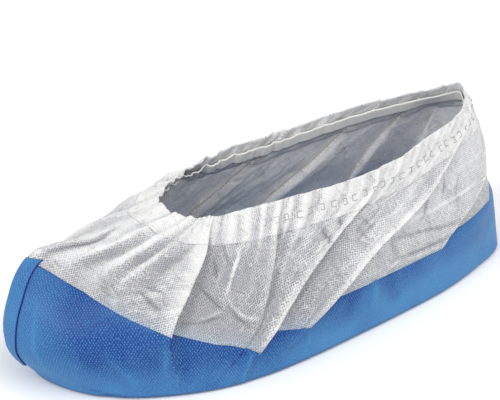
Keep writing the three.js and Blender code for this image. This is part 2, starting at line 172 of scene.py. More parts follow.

# As in part.mjs, with three more columns. The side pleat's line lies a little further forward here, because
# its edge laps over by as much. `over` is how far the cloth laps over itself at the fold's edge, and `soft`
# is the half width of a fold that is a soft ridge instead, both in mm. `tone` is how light the cloth is drawn
# from this fold on to the next lapped one: partly how grey the single cloth is, and partly painted light and
# shade for how that stretch faces the lamps.
FOLDS = (
    # name, line, steep, lift, dip, from, peak, top, hang, tuck, over, soft, tone
    ("toe_crown", (0, 0, 0, 0.2, 0.2), 1, 0, 0.6, 1.4, 2.6, 0.3, 2.06, 2.06, 0, 6, 0.92),
    ("vamp_1", (0.74, 0.74, 0.75, 1.0, 1.2), 1, 1.7, 0.8, 1.5, 2.8, 0.5, 1.95, 1.94, 0, 5, 0.88),
    ("vamp_2", (1.35, 1.35, 1.4, 1.7, 2.0), 1, 2.0, 1.0, 1.5, 2.8, 0.5, 1.8, 1.79, 0, 5, 0.8),
    ("vamp_3", (1.85, 1.8, 1.84, 2.22, 2.4), 1, 2.0, 1.0, 1.3, 2.8, 0.5, 1.61, 1.6, 0, 5, 0.44),
    ("ball_pleat", (2.62, 2.5, 2.83, 3.12, 2.92), 1, 6.5, 2.0, 0, 1.4, 0.4, 1.14, 1.18, 6, 0, 0.2),
    ("joint_crease", (2.9, 3.1, 3.48, 3.85, 3.9), 1, 1.3, 0.6, 1.6, 2.2, 0.5, 0.9, 0.9, 0, 1.4, 0.16),
    ("joint_fold", (3.0, 3.85, 4.28, 4.55, 4.7), 1, 3.4, 1.4, 0, 2.6, 0.7, 0.69, 0.7, 1, 0, 0.26),
    ("waist_pleat", (3.5, 4.2, 5.28, 6.35, 6.6), 1, 6.5, 2.0, 0, 1.0, 0.3, 0.57, 0.84, 5, 0, 0.3),
    ("side_pleat", (4.1, 5.3, 6.78, 8.58, 10.5), 1, 7.5, 2.2, 0, 1.5, 0.4, 0.69, 0.96, 5, 0, 0.62),
    ("quarter_fold", (7.5, 7.75, 9.65, 10.5, 10.75), 1, 3.6, 1.5, 0, 1.9, 0.5, 1.02, 1.18, 2, 0, 0.74),
    ("counter_fold", (9.0, 9.4, 10.2, 10.8, 10.97), 1, 2.4, 1.2, 0, 2.2, 0.4, 1.22, 1.26, 1, 0, 0.82),
    ("heel_crown", (11, 11, 11, 11.1, 11.2), -1, 0, 0.6, 0, 2.0, 0.3, 1.6, 1.56, 0, 6, 0.5),
    ("far_counter", (12.7, 12.7, 12.4, 11.9, 11.6), -1, 2.8, 1.2, 0, 2.0, 0.4, 1.24, 1.3, 1, 0, 0.45),
    ("far_quarter", (14.2, 14.1, 13.7, 13.0, 12.3), -1, 3.6, 1.6, 0, 1.8, 0.5, 0.96, 1.14, 2, 0, 0.42),
    ("far_side", (16.3, 15.8, 15.0, 14.3, 13.6), -1, 5.0, 2.0, 0, 1.4, 0.4, 0.8, 1.0, 4.5, 0, 0.4),
    ("far_waist", (17.7, 17.3, 16.6, 16.1, 15.7), -1, 4.5, 1.8, 0, 1.2, 0.4, 0.7, 0.92, 4.5, 0, 0.38),
    ("far_joint", (18.7, 18.5, 18.0, 17.6, 17.4), -1, 2.4, 1.2, 0, 2.2, 0.6, 0.92, 0.96, 1, 0, 0.4),
    ("far_ball", (19.6, 19.5, 19.1, 18.9, 18.9), -1, 3.4, 1.4, 0, 1.5, 0.4, 1.16, 1.24, 3, 0, 0.6),
    ("far_vamp", (20.7, 20.7, 20.5, 20.3, 20.3), -1, 1.8, 0.8, 1.5, 2.6, 0.5, 1.8, 1.8, 0, 5, 0.75),
)
FOLD_NAMES, *_columns = zip(*FOLDS)
FOLD_LINE, STEEP, LIFT, DIP, FROM, PEAK, TOP, HANG, TUCK, OVER, SOFT, TONE = map(np.array, _columns)
FOLD_COUNT = len(FOLDS)

# One row per size of gather at the hem: the length of rim it takes, its height, how far it reaches below the
# rim (all mm), and its seed.
GATHERS = (
    (2.9, 0.9, 10.0, 51),
    (4.8, 0.9, 20.0, 11),
    (9.5, 1.9, 32.0, 21),
    (17.0, 1.9, 55.0, 31),
)

# Creases pressed into the cloth: the height in mm (below 0 for a valley), the half width in mm, how much
# lighter or darker it is drawn on it, as painted light on a ridge and painted shade in a valley, and then
# the rib and the level of each of its points.
CREASES = (
    (-1.4, 2.5, -1.5, 0.28, 2.24, 0.28, 2.55, 0.4, 2.72, 0.4, 2.91, 0.22, 3.18),
    (1.2, 3.4, 0.6, 0.44, 2.13, 0.52, 2.36, 0.66, 2.75, 0.58, 3.11),
    (-0.9, 3.0, -0.45, 0.84, 2.06, 1.02, 2.35, 1.22, 2.6, 1.38, 2.95, 1.5, 3.34),
    (-0.7, 2.0, -0.15, 1.64, 2.15, 1.8, 2.5, 1.98, 2.85, 2.12, 3.17),
    (0.6, 1.0, 0.4, 1.5, 2.2, 1.66, 2.67, 1.77, 2.9, 1.83, 3.18, 1.92, 3.51, 1.84, 3.93),
    (0.6, 1.0, 0.4, 1.84, 2.08, 1.95, 2.27, 2.1, 2.56, 2.19, 2.82, 2.23, 3.16),
    (-0.8, 2.0, -0.2, 2.28, 2.17, 2.44, 2.7, 2.7, 3.1, 2.86, 3.56),
    (0.9, 0.8, 0.7, 3.76, 2.83, 3.72, 2.6, 3.63, 2.42, 3.53, 2.17, 3.41, 1.9),
    (0.7, 0.9, 0.75, 3.44, 1.79, 3.48, 1.56, 3.58, 1.38, 3.68, 1.27, 3.86, 1.18),
    (-0.7, 0.8, -0.7, 3.42, 1.66, 3.52, 1.32, 3.72, 1.1),
    (-0.8, 0.8, -0.7, 2.96, 2.29, 3.12, 1.97, 3.3, 1.56),
    (-0.7, 0.8, -0.6, 3.25, 2.77, 3.27, 2.55, 3.29, 2.31),
    (-0.9, 0.9, -0.8, 2.16, 1.99, 2.3, 1.83, 2.44, 1.59),
    (-0.8, 0.9, -0.7, 2.22, 2.09, 2.36, 2.04, 2.5, 1.95),
    (0.5, 0.8, 0.4, 2.75, 1.35, 3.05, 1.5, 3.35, 1.62),
    (-0.7, 0.8, -0.6, 2.66, 1.38, 2.9, 1.4, 3.28, 1.45),
    (-0.7, 0.8, -0.6, 3.44, 3.02, 3.5, 2.76, 3.56, 2.51),
    (0.4, 6.0, 0.32, 5.6, 1.3, 6.19, 1.61, 6.61, 1.97, 7.03, 2.33, 7.4, 2.62),
    (-0.6, 0.9, -0.35, 8.58, 2.4, 8.36, 1.99, 8.32, 1.57),
    (0.7, 1.2, 0.3, 9.98, 2.21, 9.62, 1.98, 9.06, 1.66, 8.76, 1.45),
    (-1.0, 1.1, -0.9, 5.39, 2.6, 5.43, 2.35, 5.47, 2.12),
    (-1.0, 1.1, -0.9, 5.72, 2.72, 5.74, 2.5, 5.78, 2.3),
    (-0.8, 0.7, -0.5, 6.2, 2.47, 6.25, 2.25, 6.3, 2.08),
    (-0.7, 0.7, -0.4, 6.08, 2.3, 6.14, 2.06, 6.18, 1.84),
    (0.8, 1.0, 0.4, 6.42, 2.84, 6.44, 2.66, 6.46, 2.42),
    (-0.7, 0.8, -0.6, 6.72, 1.68, 7.28, 1.58, 7.88, 1.44, 8.42, 1.33),
    (0.7, 0.8, 0.7, 6.49, 1.08, 6.74, 1.18, 7.21, 1.1, 7.78, 1.09, 8.26, 1.12),
    (-0.7, 0.8, -0.6, 6.6, 1.24, 7.2, 1.2, 7.8, 1.18, 8.3, 1.2),
    (-0.7, 0.8, -0.6, 7.41, 1.83, 7.54, 2.03, 7.62, 2.27),
    (-0.7, 0.8, -0.6, 7.98, 2.06, 8.08, 2.27, 8.12, 2.5),
    (-0.6, 0.8, -0.4, 6.69, 1.65, 6.73, 1.45, 6.73, 1.29),
    (0.6, 0.8, 0.4, 6.6, 1.6, 6.58, 1.4, 6.58, 1.23),
)
# And into the film.
FILM_CREASES = (
    (0.9, 1.2, 0.45, 3.74, 0.58, 3.62, 0.3, 3.55, 0.05),
    (0.6, 1.4, 0.3, 0.62, 1.5, 0.6, 1.0, 0.62, 0.5),
    (0.8, 2.5, 0.3, 1.6, 0.95, 1.85, 0.6, 2.05, 0.3),
    (0.9, 2.0, 0.5, 2.46, 1.1, 2.43, 0.8, 2.42, 0.45),
    (-1.0, 2.6, -0.5, 2.66, 1.03, 2.66, 0.73, 2.68, 0.36),
    (-0.6, 0.9, -0.7, 1.1, 0.18, 1.6, 0.07, 2.0, 0.04),
    (0.8, 1.0, 0.4, 4.91, 0.6, 4.89, 0.36, 4.87, 0.1),
    (-0.7, 6.0, -0.4, 5.85, 0.95, 5.8, 0.75, 5.72, 0.5),
    (0.9, 2.4, 0.45, 6.25, 0.98, 6.25, 0.73, 6.26, 0.45),
    (-0.7, 5.0, -0.45, 6.52, 0.98, 6.63, 0.66, 6.76, 0.36),
)

# ---- curves and the smooth form


def smoothstep(start, stop, value):
    share = np.clip((value - start) / (stop - start), 0, 1)
    return share * share * (3 - 2 * share)


def mix(a, b, share):
    return a + (b - a) * share


def bell(off, half_width):
    return np.exp(-(off / half_width) ** 2)


def run_lengths(points):
    """How far along its line each point lies from the first one."""
    steps = np.diff(points, axis=-2, prepend=points[..., :1, :])
    return np.cumsum(np.linalg.norm(steps, axis=-1), axis=-1)


def spline(a, b, c, d, t):
    """A Catmull-Rom blend."""
    return b + 0.5 * t * ((c - a) + t * ((2 * a - 5 * b + 4 * c - d) + t * (3 * b - a - 3 * c + d)))


def midline_x(y):
    """The line down the middle of the sole: a parabola through its three named points."""
    total = 0.0
    for i in range(3):
        share = 1.0
        for j in range(3):
            if j != i:
                share = share * (y - MIDLINE_Y[j]) / (MIDLINE_Y[i] - MIDLINE_Y[j])
        total = total + MIDLINE_X[i] * share
    return total


def all_ribs():
    """Every rib round the cover, with a level added below the first and above the last."""
    far = NEAR_RIBS[-2:0:-1].copy()
    far[..., 0] = 2 * midline_x(far[..., 1]) - far[..., 0]
    ribs = np.concatenate([NEAR_RIBS, far])
    below = 2 * ribs[:, :1] - ribs[:, 1:2]
    above = 2 * ribs[:, -1:] - ribs[:, -2:-1]
    return np.concatenate([below, ribs, above], axis=1)


RIBS = all_ribs()


def whole_level(level):
    """The table's level just below."""
    return np.clip(np.floor(level), 0, RIM_LEVEL - 1).astype(int)


def smooth_point(rib, level):
    """Points of the smooth form. `rib` goes round the cover and `level` goes up it."""
    rib, level = np.broadcast_arrays(rib, level)
    start = np.floor(rib).astype(int)
    around = (rib - start)[..., None, None]
    lower = whole_level(level)
    steps = lower[..., None] + np.arange(4)
    corners = [RIBS[((start + k) % RIB_COUNT)[..., None], steps] for k in (-1, 0, 1, 2)]
    rows = spline(*corners, around)
    point = spline(*(rows[..., k, :] for k in range(4)), (level - lower)[..., None])
    puff = INSTEP_PUFF
    spread = ((rib % RIB_COUNT - puff.rib) / puff.ribs) ** 2 + ((level - puff.level) / puff.levels) ** 2
    swell = np.maximum(1 - spread, 0) ** 2
    point[..., 2] += puff.height * swell
    point[..., 0] -= puff.out * swell
    return point


def unit(vector):
    return vector / np.maximum(np.linalg.norm(vector, axis=-1, keepdims=True), 1e-9)


SLOPE_STEP = 0.02    # how far to each side the form's slopes are measured, in ribs or levels


def rib_slope(rib, level):
    return smooth_point(rib, level + SLOPE_STEP) - smooth_point(rib, level - SLOPE_STEP)


def smooth_frame(rib, level):
    """The outward direction, and the direction along the levels."""
    along = smooth_point(rib + SLOPE_STEP, level) - smooth_point(rib - SLOPE_STEP, level)
    return unit(np.cross(along, rib_slope(rib, level))), unit(along)


def level_span(rib, level):
    """Millimetres along the rib for one level."""
    return np.linalg.norm(rib_slope(rib, level), axis=-1) / (2 * SLOPE_STEP)


# How high above the foot each level lies, in mm along the rib, for a table of ribs.
TABLE_STEPS = 10     # entries to one rib
LEVEL_STEPS = 80     # and to one level
TABLE_RIBS = np.linspace(0, RIB_COUNT, RIB_COUNT * TABLE_STEPS + 1)
TABLE_LEVELS = np.linspace(0, RIM_LEVEL, RIM_LEVEL * LEVEL_STEPS + 1)
RISES = run_lengths(smooth_point(TABLE_RIBS[:, None], TABLE_LEVELS))


def rise_at(rib, level):
    """Millimetres along the rib from the foot to a level."""
    rib, level = np.broadcast_arrays(rib, level)
    across = (rib % RIB_COUNT) * TABLE_STEPS
    up = np.clip(level, 0, RIM_LEVEL - 1e-6) * LEVEL_STEPS
    i, j = np.floor(across).astype(int), np.floor(up).astype(int)
    low = mix(RISES[i, j], RISES[i, j + 1], up - j)
    high = mix(RISES[i + 1, j], RISES[i + 1, j + 1], up - j)
    return mix(low, high, across - i)


def drop_at(rib, level):
    """Millimetres along the rib from the rim down to a level."""
    return rise_at(rib, RIM_LEVEL) - rise_at(rib, level)


def below_rim(rib_at, count, drop):
    """The levels `drop` mm below the rim on `count` lines. `rib_at` gives their ribs at such levels."""
    level = np.full(count, RIM_LEVEL - 0.5)
    for _ in range(8):    # Newton's method
        rib = rib_at(level)
        level = level + (drop_at(rib, level) - drop) / level_span(rib, level)
    return level


def columns_below_rim(drop):
    return below_rim(lambda level: column_rib(COLS, level), len(LINE), drop)


def noise(points, seed):
    """Smooth seeded noise between about -1 and 1, over points in three dimensions."""
    cells = 32
    slopes = unit(np.random.default_rng(seed).normal(size=(cells, cells, cells, 3)))
    start = np.floor(points).astype(int)
    inside = points - start
    share = inside * inside * (3 - 2 * inside)
    total = 0.0
    for corner in itertools.product((0, 1), repeat=3):
        here = (start + corner) % cells
        slope = slopes[here[..., 0], here[..., 1], here[..., 2]]
        weight = np.prod(np.where(corner, share, 1 - share), axis=-1)
        total = total + weight * (slope * (inside - corner)).sum(-1)
    return 1.6 * total


def ringed(turn, cells, up):
    """Points for noise() that close on themselves round the cover, with `cells` of noise to one turn."""
    radius = cells / math.tau
    angle = math.tau * turn
    turn_x, turn_y, up = np.broadcast_arrays(radius * np.cos(angle), radius * np.sin(angle), up)
    return np.stack([turn_x, turn_y, up], axis=-1)


# ---- columns of the sheet
def fold_rib(index, level):
    """Where a fold's edge crosses a level, as a rib. Index FOLD_COUNT is the first fold, one turn on."""
    index, level = np.broadcast_arrays(index, level)
    lower = whole_level(level)
    lines = [FOLD_LINE[index % FOLD_COUNT, np.clip(lower + k, 0, RIM_LEVEL)] for k in (-1, 0, 1, 2)]
    return spline(*lines, level - lower) + RIB_COUNT * (index // FOLD_COUNT)


def fold_strength(fold, level):
    """How strong a fold is at a level: from nothing to 1 at its peak, and then to its share at the rim."""
    peak = PEAK[fold]
    rising = smoothstep(FROM[fold], peak, level)
    falling = mix(1, TOP[fold], smoothstep(peak, RIM_LEVEL, level))
    return np.where(level < peak, rising, falling)


def make_columns(pitch):
    """The sheet's columns, in order from the toe: the fold on the left, the share of the way to the next
    fold, and for a column inside a lapped fold which fold that is and how far through its turn."""
    turns = np.linspace(0, 1, TURN_COLUMNS + 1)
    rows = []
    for left in range(FOLD_COUNT):
        last = (left + 1) % FOLD_COUNT
        levels = np.linspace(0.3, RIM_LEVEL, 12)
        count = max(int(panel_width(left, levels).max() / pitch), 6)
        lapped = STEEP[left] > 0 and OVER[left]
        if lapped:
            rows += [(left, 0.0, left, turn) for turn in turns]
        rows += [(left, step / count, -1, 0.0) for step in range(1 if lapped else 0, count)]
        if STEEP[last] < 0 and OVER[last]:
            rows += [(left, 1.0, last, turn) for turn in turns[:0:-1]]
    left, share, fold, turn = np.array(rows).T
    return SimpleNamespace(left=left.astype(int), share=share, fold=fold.astype(int), turn=turn)


def panel_width(left, level):
    """Millimetres from one fold's edge to the next one's."""
    here, there = (smooth_point(fold_rib(index, level), level) for index in (left, left + 1))
    return np.linalg.norm(here - there, axis=-1)


def column_rib(cols, level):
    return mix(fold_rib(cols.left, level), fold_rib(cols.left + 1, level), cols.share)


def colour_line(cols):
    """The level of the line between film and cloth on each column."""
    left, right = cols.left, (cols.left + 1) % FOLD_COUNT
    start = np.where(STEEP[left] > 0, TUCK[left], HANG[left])
    end = np.where(STEEP[right] < 0, TUCK[right], HANG[right])
    turning = mix(HANG[cols.fold], TUCK[cols.fold], smoothstep(0, 0.3, cols.turn))
    return np.where(cols.fold >= 0, turning, mix(start, end, cols.share))


COLS = make_columns(COLUMN_PITCH)
LINE = colour_line(COLS)
_rim = smooth_point(column_rib(COLS, RIM_LEVEL), RIM_LEVEL)
RIM_LENGTH = np.linalg.norm(np.roll(_rim, -1, axis=0) - _rim, axis=1).sum()
RIM_TURN = run_lengths(_rim) / RIM_LENGTH    # each column's place round the rim
STARTS = (OVER > 0) | (LIFT == 0)    # the folds that a panel of cloth starts at
PANEL = np.cumsum(np.concatenate([[0], np.diff(COLS.left)]) * STARTS[COLS.left])
_next = (COLS.left + 1) % FOLD_COUNT
# Each column's share of the folds' tones, which are partly painted light and shade.
PANEL_TONE = mix(TONE[COLS.left], np.where(STARTS[_next], TONE[COLS.left], TONE[_next]), COLS.share)


# ---- the folded sheet
GATHER_REACH = 6         # the least that a gather reaches down from the rim, mm
LAP_SHARE = 0.3          # the most that a fold laps over, as a share of the cloth beside it
LAP_RISE = (0.5, 3.0)    # from no lap to a full one: how far the fold rises, mm
SHADE_REACH = 9          # how far the shade under a lapped edge reaches, mm
TROUGH_REACH = 12        # and the hollow before it
# Wrinkles, and nets of fine creases: height in mm, cells of noise to a turn and to a level, seed.
WRINKLES = ((0.8, 30, 1.3, 41), (0.5, 75, 3.0, 43))
FINE_CREASES = ((0.7, 48, 3.0, 47), (0.7, 85, 6.5, 49))


def gathers(turn, drop):
    """How far the hem's gathers stand out, `drop` mm below the rim: narrow ridges with wide hollows."""
    total = 0.0
    front = np.maximum(0.62 + 0.5 * np.cos(math.tau * turn), 0.25)    # strongest at the toe
    for pitch, height, fade, seed in GATHERS:
        count = round(RIM_LENGTH / pitch)
        drift = 0.5 * noise(ringed(turn, count / 2.2, 0.5), seed)
        strong = 0.7 + 0.8 * noise(ringed(turn, count / 1.6, 3.5), seed + 1)
        reach = fade * (front + 0.6 * noise(ringed(turn, count / 1.4, 7.5), seed + 2))
        ridge = (1 - np.abs(np.sin(math.pi * (turn * count + drift)))) ** 1.2 - 0.3
        below = np.exp(-(drop / np.maximum(reach, GATHER_REACH)) ** 3)
        total = total + height * front * strong * ridge * below
    return total


def lap_over(fold, strength, width):
    """How far a fold laps over, in mm. The cloth beside it is `width` wide."""
    rise = (LIFT[fold] + DIP[fold]) * strength
    return np.minimum(OVER[fold] * smoothstep(*LAP_RISE, rise), LAP_SHARE * width)


def sheet(cols, turn, level):
    """The folded sheet's middle surface at the levels given, (rows, columns), and what the materials need."""
    left, last, fold, share = cols.left, (cols.left + 1) % FOLD_COUNT, cols.fold, cols.share
    level = np.broadcast_to(level, np.broadcast_shapes(np.shape(level), share.shape))
    rib = column_rib(cols, level)
    drop = drop_at(rib, level)
    normal, along = smooth_frame(rib, np.minimum(level, RIM_LEVEL - 0.03))
    settle = 1 - 0.65 * smoothstep(HEM_WIDTH + 20, 0, drop)    # folds fade towards the rim
    width = panel_width(left, level)

    # Below the colour line the film isn't lapped, so its folds are soft there.
    soften = 1 - smoothstep(colour_line(cols) - 0.35, colour_line(cols) - 0.03, level)

    height, double, under_shade, crest_light = (np.zeros(level.shape) for _ in range(4))
    for side, away, trough in ((left, share, 1), (last, 1 - share, -1)):
        strength = fold_strength(side, level) * settle
        far = away * width
        is_soft = OVER[side] == 0
        in_trough = STEEP[side] * trough > 0
        wide = np.maximum(SOFT[side], 1)
        ridge = LIFT[side] / (1 + (far / wide) ** 2) ** 1.5
        hollow = np.where(in_trough, DIP[side] * bell(far - 1.8 * wide, wide), 0)
        step = (LIFT[side] + DIP[side]) / 2 * np.exp(-far / SOFT_STEP) * soften
        trough_side = -DIP[side] * bell(far, TROUGH_REACH) + step
        lifted_side = LIFT[side] * (1 - away) ** 1.8 - step
        lapped_side = np.where(in_trough, trough_side, lifted_side)
        height = height + strength * np.where(is_soft, ridge - hollow, lapped_side)
        # Painted light on a soft fold's ridge and painted shade in the hollow beside it.
        ridge_light_hollow_shade = 1.25 * bell(far, 0.6 * wide) - hollow / DIP[side]
        crest_light = crest_light + np.where(is_soft, strength * ridge_light_hollow_shade, 0)
        reach = lap_over(side, strength, width)
        lifted = ~is_soft & ~in_trough & (reach > 0.3)
        doubled = 1 - smoothstep(0.5, 1.9, far / np.maximum(reach, 0.3))
        double = np.where(lifted, np.maximum(double, doubled), double)
        # Painted shade on the cloth beneath a lapped edge, fading away from it.
        shade = np.exp(-far / SHADE_REACH) * np.minimum(strength * LIFT[side] / 5, 1)
        under_shade = np.where(~is_soft & in_trough, np.maximum(under_shade, shade), under_shade)

    strength = fold_strength(fold, level) * settle
    lapped = mix(LIFT[fold], -DIP[fold], cols.turn ** 0.85)
    turned = mix(lapped, (LIFT[fold] - DIP[fold]) / 2, soften) * strength
    in_turn = fold >= 0
    height = np.where(in_turn, turned, height)
    lifted_width = panel_width(np.where(STEEP[fold] > 0, fold - 1, fold) % FOLD_COUNT, level)
    lap = lap_over(fold, strength, lifted_width) * np.sin(math.pi * cols.turn)
    slide = np.where(in_turn, -STEEP[fold] * lap * (1 - soften), 0.0)
    double = np.where(in_turn, 1 - smoothstep(0.1, 0.3, cols.turn), double)
    # Painted shade beneath the turn of a lapped fold.
    under_shade = np.where(in_turn, 0.8 * smoothstep(0.1, 0.35, cols.turn), under_shade)

    gather = gathers(turn, drop) * smoothstep(0.3, 1.4, level)
    wrinkle, fine = 0.0, 0.0
    for tall, cells, rows, seed in WRINKLES:
        wrinkle = wrinkle + tall * noise(ringed(turn, cells, rows * level), seed)
    for tall, cells, rows, seed in FINE_CREASES:
        network = noise(ringed(turn, cells, rows * level), seed)
        strong = smoothstep(-0.2, 0.5, noise(ringed(turn, cells / 3, rows * level / 2), seed + 1))
        fine = fine + tall * bell(network, 0.08) * strong
    fine = fine * (1 - soften)
    out = height + gather + (wrinkle + fine) * smoothstep(0.2, 1.2, level)
    point = smooth_point(rib, level) + normal * out[..., None] + along * slide[..., None]
    return SimpleNamespace(
        point=point, normal=normal, rib=rib, level=level, drop=drop, height=height, double=double,
        under_shade=under_shade, crest_light=crest_light, gather=gather, wrinkle=wrinkle, fine=fine,
    )


def round_edges(point, passes):
    """Softens the bends across the columns, so that a lapped edge is round."""
    for _ in range(passes):
        point = (np.roll(point, 1, axis=1) + 2 * point + np.roll(point, -1, axis=1)) / 4
    return point


def grid_normals(grid, closed=True):
    if closed:
        along = np.roll(grid, -1, axis=1) - np.roll(grid, 1, axis=1)
    else:
        along = np.gradient(grid, axis=1)
    return unit(np.cross(along, np.gradient(grid, axis=0)))


CREASE_SPOTS = 40    # along each crease
CREASE_REACH = 12    # how far off, in mm, a spot of a crease still shapes the cloth


def pressed(point, normal, creases):
    """Adds a table's creases to a grid, and returns the change in tone: painted light on a ridge and painted
    shade in a valley. A crease fades out at its ends.
    """
    strengths = np.sin(math.pi * np.linspace(0.06, 0.94, CREASE_SPOTS)) ** 0.6
    tone = np.zeros(point.shape[:2])
    for height, half_width, change, *line in creases:
        along = np.linspace(0, len(line) / 2 - 1, CREASE_SPOTS)
        ribs, levels = (np.interp(along, range(len(part)), part) for part in (line[::2], line[1::2]))
        shape = np.zeros(point.shape[:2])
        for spot, strength in zip(smooth_point(ribs, levels), strengths):
            shift = point - spot
            off = shift - normal * (shift * normal).sum(-1, keepdims=True)
            too_far = np.maximum(np.linalg.norm(shift, axis=-1) - CREASE_REACH, 0)
            near = np.linalg.norm(off, axis=-1) + too_far * 5
            shape = np.maximum(shape, strength * bell(near, half_width))
        point = point + normal * (height * shape)[..., None]
        tone = tone + change * shape
    return point, tone


def panel_planes(grid):
    """A flat plane for each stretch of cloth between lapped folds: its middle and its two directions."""
    planes = []
    normal = grid_normals(grid)
    for panel in range(PANEL.max() + 1):
        inside = PANEL == panel
        out = unit(normal[:, inside].mean(axis=(0, 1)))
        up = (grid[-1, inside] - grid[0, inside]).mean(axis=0)
        up = unit(up - out * (up @ out))
        planes.append((grid[:, inside].mean(axis=(0, 1)), np.cross(up, out), up))
    return planes


def plane_weave(grid):
    """Flat cloth coordinates in mm, measured on each panel's own plane."""
    middle, side, up = (np.array(parts)[PANEL] for parts in zip(*PLANES))
    shift = grid - middle
    return np.stack([(shift * side).sum(-1), (shift * up).sum(-1), 0 * shift[..., 0]], axis=-1)


# ---- meshes
def add_mesh(name, verts, faces, values):
    """A smooth-shaded mesh object in the row frame, with its named values on the vertices, skin by skin."""
    mesh = bpy.data.meshes.new(name)
    mesh.from_pydata(((verts + FORM_SHIFT) * MM).tolist(), [], faces)
    for key, skins in values.items():
        kind, part = ("FLOAT_VECTOR", "vector") if skins[0].ndim == 3 else ("FLOAT", "value")
        flat = np.concatenate([skin.ravel() for skin in skins])
        mesh.attributes.new(key, kind, "POINT").data.foreach_set(part, flat)
    mesh.shade_smooth()
    mesh.validate()
    mesh.update()
    return linked(name, mesh)


def band(low, high, size, closed):
    """Quads between two rows of vertices that start at `low` and `high`."""
    last = size if closed else size - 1
    return [(low + k, low + (k + 1) % size, high + (k + 1) % size, high + k) for k in range(last)]


def flipped(faces):
    return [face[::-1] for face in faces]


def thinned(skin, normal):
    """Every second row of a shell's inner side, pushed in where the rows left out would show through it."""
    middle = (skin[:-2:2] + skin[2::2]) / 2
    bulge = ((middle - skin[1::2]) * normal[1::2]).sum(axis=-1)
    bulge = np.pad(np.maximum(bulge, 0), ((1, 1), (0, 0)))
    return skin[::2] - normal[::2] * np.maximum(bulge[:-1], bulge[1:])[..., None]


def shell(name, grid, thick, closed=True, caps=False, inner_tone=None, thin_inside=False, **values):
    """A thin solid from a grid of middle points, (rows, columns, 3): a ring round the cover, or a plate where
    it isn't closed. With `caps` a ring's first row is filled in, outside and inside. `inner_tone` is the tone
    of its inner side, if that differs. `thin_inside` leaves it every second row, of an odd number."""
    rows, size = grid.shape[:2]
    normal = grid_normals(grid, closed)
    outer = grid + normal * thick / 2
    inner = grid - normal * thick / 2
    if thin_inside:
        inner = thinned(inner, normal)
    verts = np.concatenate([outer.reshape(-1, 3), inner.reshape(-1, 3)])
    base = rows * size
    faces = []
    for row in range(rows - 1):
        faces += band(row * size, (row + 1) * size, size, closed)
    for row in range(len(inner) - 1):
        faces += flipped(band(base + row * size, base + (row + 1) * size, size, closed))
    faces += band((rows - 1) * size, base + (len(inner) - 1) * size, size, closed)
    if caps:
        for face in zipped(grid[0]):
            faces += [face[::-1], tuple(base + corner for corner in face)]
    else:
        faces += flipped(band(0, base, size, closed))
    if not closed:
        for row in range(rows - 1):
            a, b = row * size, (row + 1) * size
            faces.append((a, b, base + b, base + a))
            a, b = a + size - 1, b + size - 1
            faces.append((base + a, base + b, b, a))
    skins = {key: [value, value[::2 if thin_inside else 1]] for key, value in values.items()}
    if inner_tone is not None:
        skins["tone"][1] = np.full(inner.shape[:2], inner_tone)
    return add_mesh(name, verts, faces, skins)


def zipped(row):
    """Triangles across a long narrow ring of points, from its first point on."""
    near, far = 0, len(row) - 1
    faces = []
    while far - near > 1:
        on_near = row[near + 1, 1] < row[far - 1, 1]
        faces.append((near, near + 1 if on_near else far - 1, far))
        near, far = (near + 1, far) if on_near else (near, far - 1)
    return faces


# ---- the pieces' shapes
UPPER_TOP = columns_below_rim(HEM_WIDTH - UPPER_UNDER_HEM)
UPPER_SHARES = np.concatenate([np.linspace(0, 0.95, UPPER_ROWS - 7), np.linspace(0.95, 1, 9)[1:]])
UPPER_LEVELS = mix(LINE, UPPER_TOP, UPPER_SHARES[:, None])
PLANES = panel_planes(smooth_point(column_rib(COLS, UPPER_LEVELS), UPPER_LEVELS))


def cloth_tone(data):
    """From 0, single cloth in a hollow, to 1, doubled cloth on a ridge. The doubling is the cloth's own; the
    hollows, ridges and lapped edges add painted shade and painted light to the panels' tones.
    """
    near_hem = np.exp(-np.maximum(data.drop - HEM_WIDTH, 0) / 8)
    # Painted light on the ridges of the gathers, fine creases, wrinkles and soft folds, and painted shade in
    # their hollows.
    relief = 0.26 * data.gather + 0.45 * data.fine + 0.14 * data.wrinkle + 0.28 * data.crest_light
    low = np.exp(-np.maximum(data.level - LINE, 0) / 0.7)
    return PANEL_TONE + 0.5 * data.double - 0.3 * data.under_shade + relief + 0.16 * near_hem - 0.5 * low


def make_upper():
    """The nonwoven shell, from the colour line to between the hem's leaves."""
    data = sheet(COLS, RIM_TURN, UPPER_LEVELS)
    grid = round_edges(data.point, 2)
    grid, crease_light_shade = pressed(grid, grid_normals(grid), CREASES)
    tucked = smoothstep(HEM_WIDTH + 0.4, HEM_WIDTH - 0.2, data.drop)
    grid = grid - data.normal * (UPPER_TUCK * tucked)[..., None]
    # The cloth's tone, with the creases' painted light and shade added.
    tone = np.clip(np.clip(cloth_tone(data), 0, 1) + crease_light_shade, -1, 1)
    above = rise_at(data.rib, data.level) - rise_at(data.rib, LINE)
    film = np.exp(-above / 2.5) * (1 - 0.6 * data.double) * smoothstep(0.8, 0.35, PANEL_TONE)
    return shell("upper_cloth", grid, CLOTH_THICK, inner_tone=0.85, thin_inside=True,
                 weave=plane_weave(grid), tone=tone, film=np.clip(film, 0, 1))


